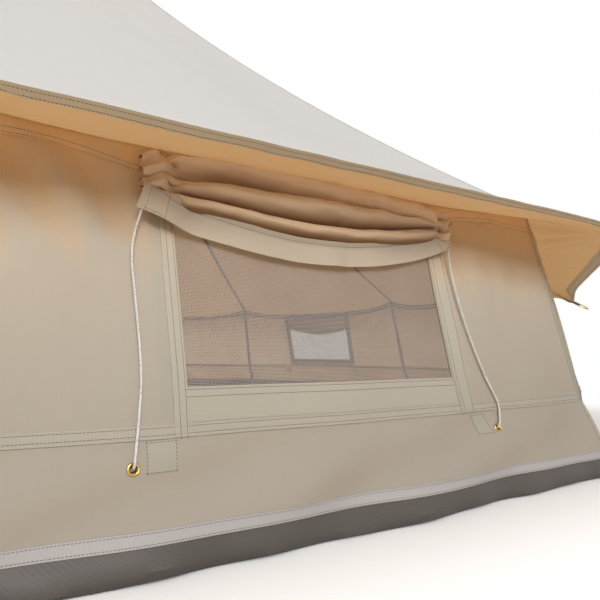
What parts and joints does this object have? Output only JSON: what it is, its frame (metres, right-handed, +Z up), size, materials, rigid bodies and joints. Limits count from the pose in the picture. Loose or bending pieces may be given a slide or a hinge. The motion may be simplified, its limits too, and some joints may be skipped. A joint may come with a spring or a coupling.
{
  "type": "bell tent",
  "caption": "Round canvas bell tent with a flared eave, low leaning walls, netted windows with drawn-up flaps, a ridged zip door, a groundsheet and poles.",
  "frame": {"origin": "centre of the groundsheet, on the ground", "axes": "+Z up, the door faces -Y, +X to the right of someone who looks in at the door"},
  "size_m": [5.6234, 5.3482, 2.7],
  "materials": {
    "wall_canvas": "woven cotton canvas, beige",
    "roof_canvas": "woven cotton canvas, bleached on top",
    "flap_canvas": "woven cotton canvas, gathered",
    "netting": "fine mosquito netting",
    "cord": "braided white cord with grey flecks",
    "brass": "bright pressed brass",
    "steel": "galvanised tube",
    "groundsheet": "coated woven sheet"
  },
  "bodies": {
    "tent": {"centre_pole_lower": "steel", "centre_pole_upper": "steel", "door_pole_left": "steel", "door_pole_right": "steel", "door_surround": "wall_canvas", "groundsheet": "groundsheet", "peak_cap": "steel", "roof_front": "roof_canvas", "roof_panel_1": "roof_canvas", "roof_panel_2": "roof_canvas", "roof_panel_3": "roof_canvas", "roof_panel_4": "roof_canvas", "roof_panel_5": "roof_canvas", "roof_panel_6": "roof_canvas", "roof_panel_7": "roof_canvas", "roof_panel_8": "roof_canvas", "roof_panel_9": "roof_canvas", "wall_panel_1": "wall_canvas", "wall_panel_2": "wall_canvas", "wall_panel_3": "wall_canvas", "wall_panel_4": "wall_canvas", "wall_panel_5": "wall_canvas", "wall_panel_6": "wall_canvas", "wall_panel_7": "wall_canvas", "wall_panel_8": "wall_canvas", "wall_panel_9": "wall_canvas", "window_left_cord_left": "cord", "window_left_cord_right": "cord", "window_left_eyelet_left": "brass", "window_left_eyelet_right": "brass", "window_left_flap": "flap_canvas", "window_left_netting": "netting", "window_rear_cord_left": "cord", "window_rear_cord_right": "cord", "window_rear_eyelet_left": "brass", "window_rear_eyelet_right": "brass", "window_rear_flap": "flap_canvas", "window_rear_netting": "netting", "window_right_cord_left": "cord", "window_right_cord_right": "cord", "window_right_eyelet_left": "brass", "window_right_eyelet_right": "brass", "window_right_flap": "flap_canvas", "window_right_netting": "netting"},
    "door_leaf_left": {"door_leaf_left": "wall_canvas"},
    "door_leaf_right": {"door_leaf_right": "wall_canvas"},
    "door_zip_pull": {"door_zip_pull": "brass"},
    "window_right_hem": {"window_right_flap_hem": "flap_canvas"},
    "window_rear_hem": {"window_rear_flap_hem": "flap_canvas"},
    "window_left_hem": {"window_left_flap_hem": "flap_canvas"},
    "tie_out_ring_1": {"tie_out_ring_1": "brass"},
    "tie_out_ring_2": {"tie_out_ring_2": "brass"},
    "tie_out_ring_3": {"tie_out_ring_3": "brass"},
    "tie_out_ring_4": {"tie_out_ring_4": "brass"},
    "tie_out_ring_5": {"tie_out_ring_5": "brass"},
    "tie_out_ring_6": {"tie_out_ring_6": "brass"},
    "tie_out_ring_7": {"tie_out_ring_7": "brass"},
    "tie_out_ring_8": {"tie_out_ring_8": "brass"},
    "tie_out_ring_9": {"tie_out_ring_9": "brass"},
    "tie_out_ring_10": {"tie_out_ring_10": "brass"}
  },
  "joints": [
    {"name": "door_leaf_right_swing", "type": "hinge", "parent": "tent", "child": "door_leaf_right", "pos_m": [0.64, -2.47954, 0.09017], "axis": [-0.3479, 0.2149, 0.9126], "range_deg": [0, 120]},
    {"name": "door_leaf_left_swing", "type": "hinge", "parent": "tent", "child": "door_leaf_left", "pos_m": [-0.64, -2.47954, 0.09017], "axis": [-0.3479, -0.2149, -0.9126], "range_deg": [0, 120]},
    {"name": "door_zip_slide", "type": "slide", "parent": "door_leaf_left", "child": "door_zip_pull", "axis": [0, 0.2292, 0.9734], "range_m": [0, 1.45]},
    {"name": "window_right_flap_slide", "type": "slide", "parent": "tent", "child": "window_right_hem", "axis": [0.218, -0.0708, -0.9734], "range_m": [0, 0.27], "deforming": ["window_right_flap", "window_right_cord_left", "window_right_cord_right"]},
    {"name": "window_rear_flap_slide", "type": "slide", "parent": "tent", "child": "window_rear_hem", "axis": [0, 0.2292, -0.9734], "range_m": [0, 0.27], "deforming": ["window_rear_flap", "window_rear_cord_left", "window_rear_cord_right"]},
    {"name": "window_left_flap_slide", "type": "slide", "parent": "tent", "child": "window_left_hem", "axis": [-0.218, -0.0708, -0.9734], "range_m": [0, 0.27], "deforming": ["window_left_flap", "window_left_cord_left", "window_left_cord_right"]},
    {"name": "tie_out_ring_1_swing", "type": "hinge", "parent": "tent", "child": "tie_out_ring_1", "pos_m": [0.85375, -2.62756, 0.54898], "axis": [0.9511, 0.309, 0], "range_deg": [-75, 115]},
    {"name": "tie_out_ring_2_swing", "type": "hinge", "parent": "tent", "child": "tie_out_ring_2", "pos_m": [2.23514, -1.62392, 0.54898], "axis": [0.5878, 0.809, 0], "range_deg": [-75, 115]},
    {"name": "tie_out_ring_3_swing", "type": "hinge", "parent": "tent", "child": "tie_out_ring_3", "pos_m": [2.76278, 0, 0.54898], "axis": [0, 1, 0], "range_deg": [-75, 115]},
    {"name": "tie_out_ring_4_swing", "type": "hinge", "parent": "tent", "child": "tie_out_ring_4", "pos_m": [2.23514, 1.62392, 0.54898], "axis": [-0.5878, 0.809, 0], "range_deg": [-75, 115]},
    {"name": "tie_out_ring_5_swing", "type": "hinge", "parent": "tent", "child": "tie_out_ring_5", "pos_m": [0.85375, 2.62756, 0.54898], "axis": [-0.9511, 0.309, 0], "range_deg": [-75, 115]},
    {"name": "tie_out_ring_6_swing", "type": "hinge", "parent": "tent", "child": "tie_out_ring_6", "pos_m": [-0.85375, 2.62756, 0.54898], "axis": [-0.9511, -0.309, 0], "range_deg": [-75, 115]},
    {"name": "tie_out_ring_7_swing", "type": "hinge", "parent": "tent", "child": "tie_out_ring_7", "pos_m": [-2.23514, 1.62392, 0.54898], "axis": [-0.5878, -0.809, 0], "range_deg": [-75, 115]},
    {"name": "tie_out_ring_8_swing", "type": "hinge", "parent": "tent", "child": "tie_out_ring_8", "pos_m": [-2.76278, 0, 0.54898], "axis": [0, -1, 0], "range_deg": [-75, 115]},
    {"name": "tie_out_ring_9_swing", "type": "hinge", "parent": "tent", "child": "tie_out_ring_9", "pos_m": [-2.23514, -1.62392, 0.54898], "axis": [0.5878, -0.809, 0], "range_deg": [-75, 115]},
    {"name": "tie_out_ring_10_swing", "type": "hinge", "parent": "tent", "child": "tie_out_ring_10", "pos_m": [-0.85375, -2.62756, 0.54898], "axis": [0.9511, -0.309, 0], "range_deg": [-75, 115]}
  ]
}
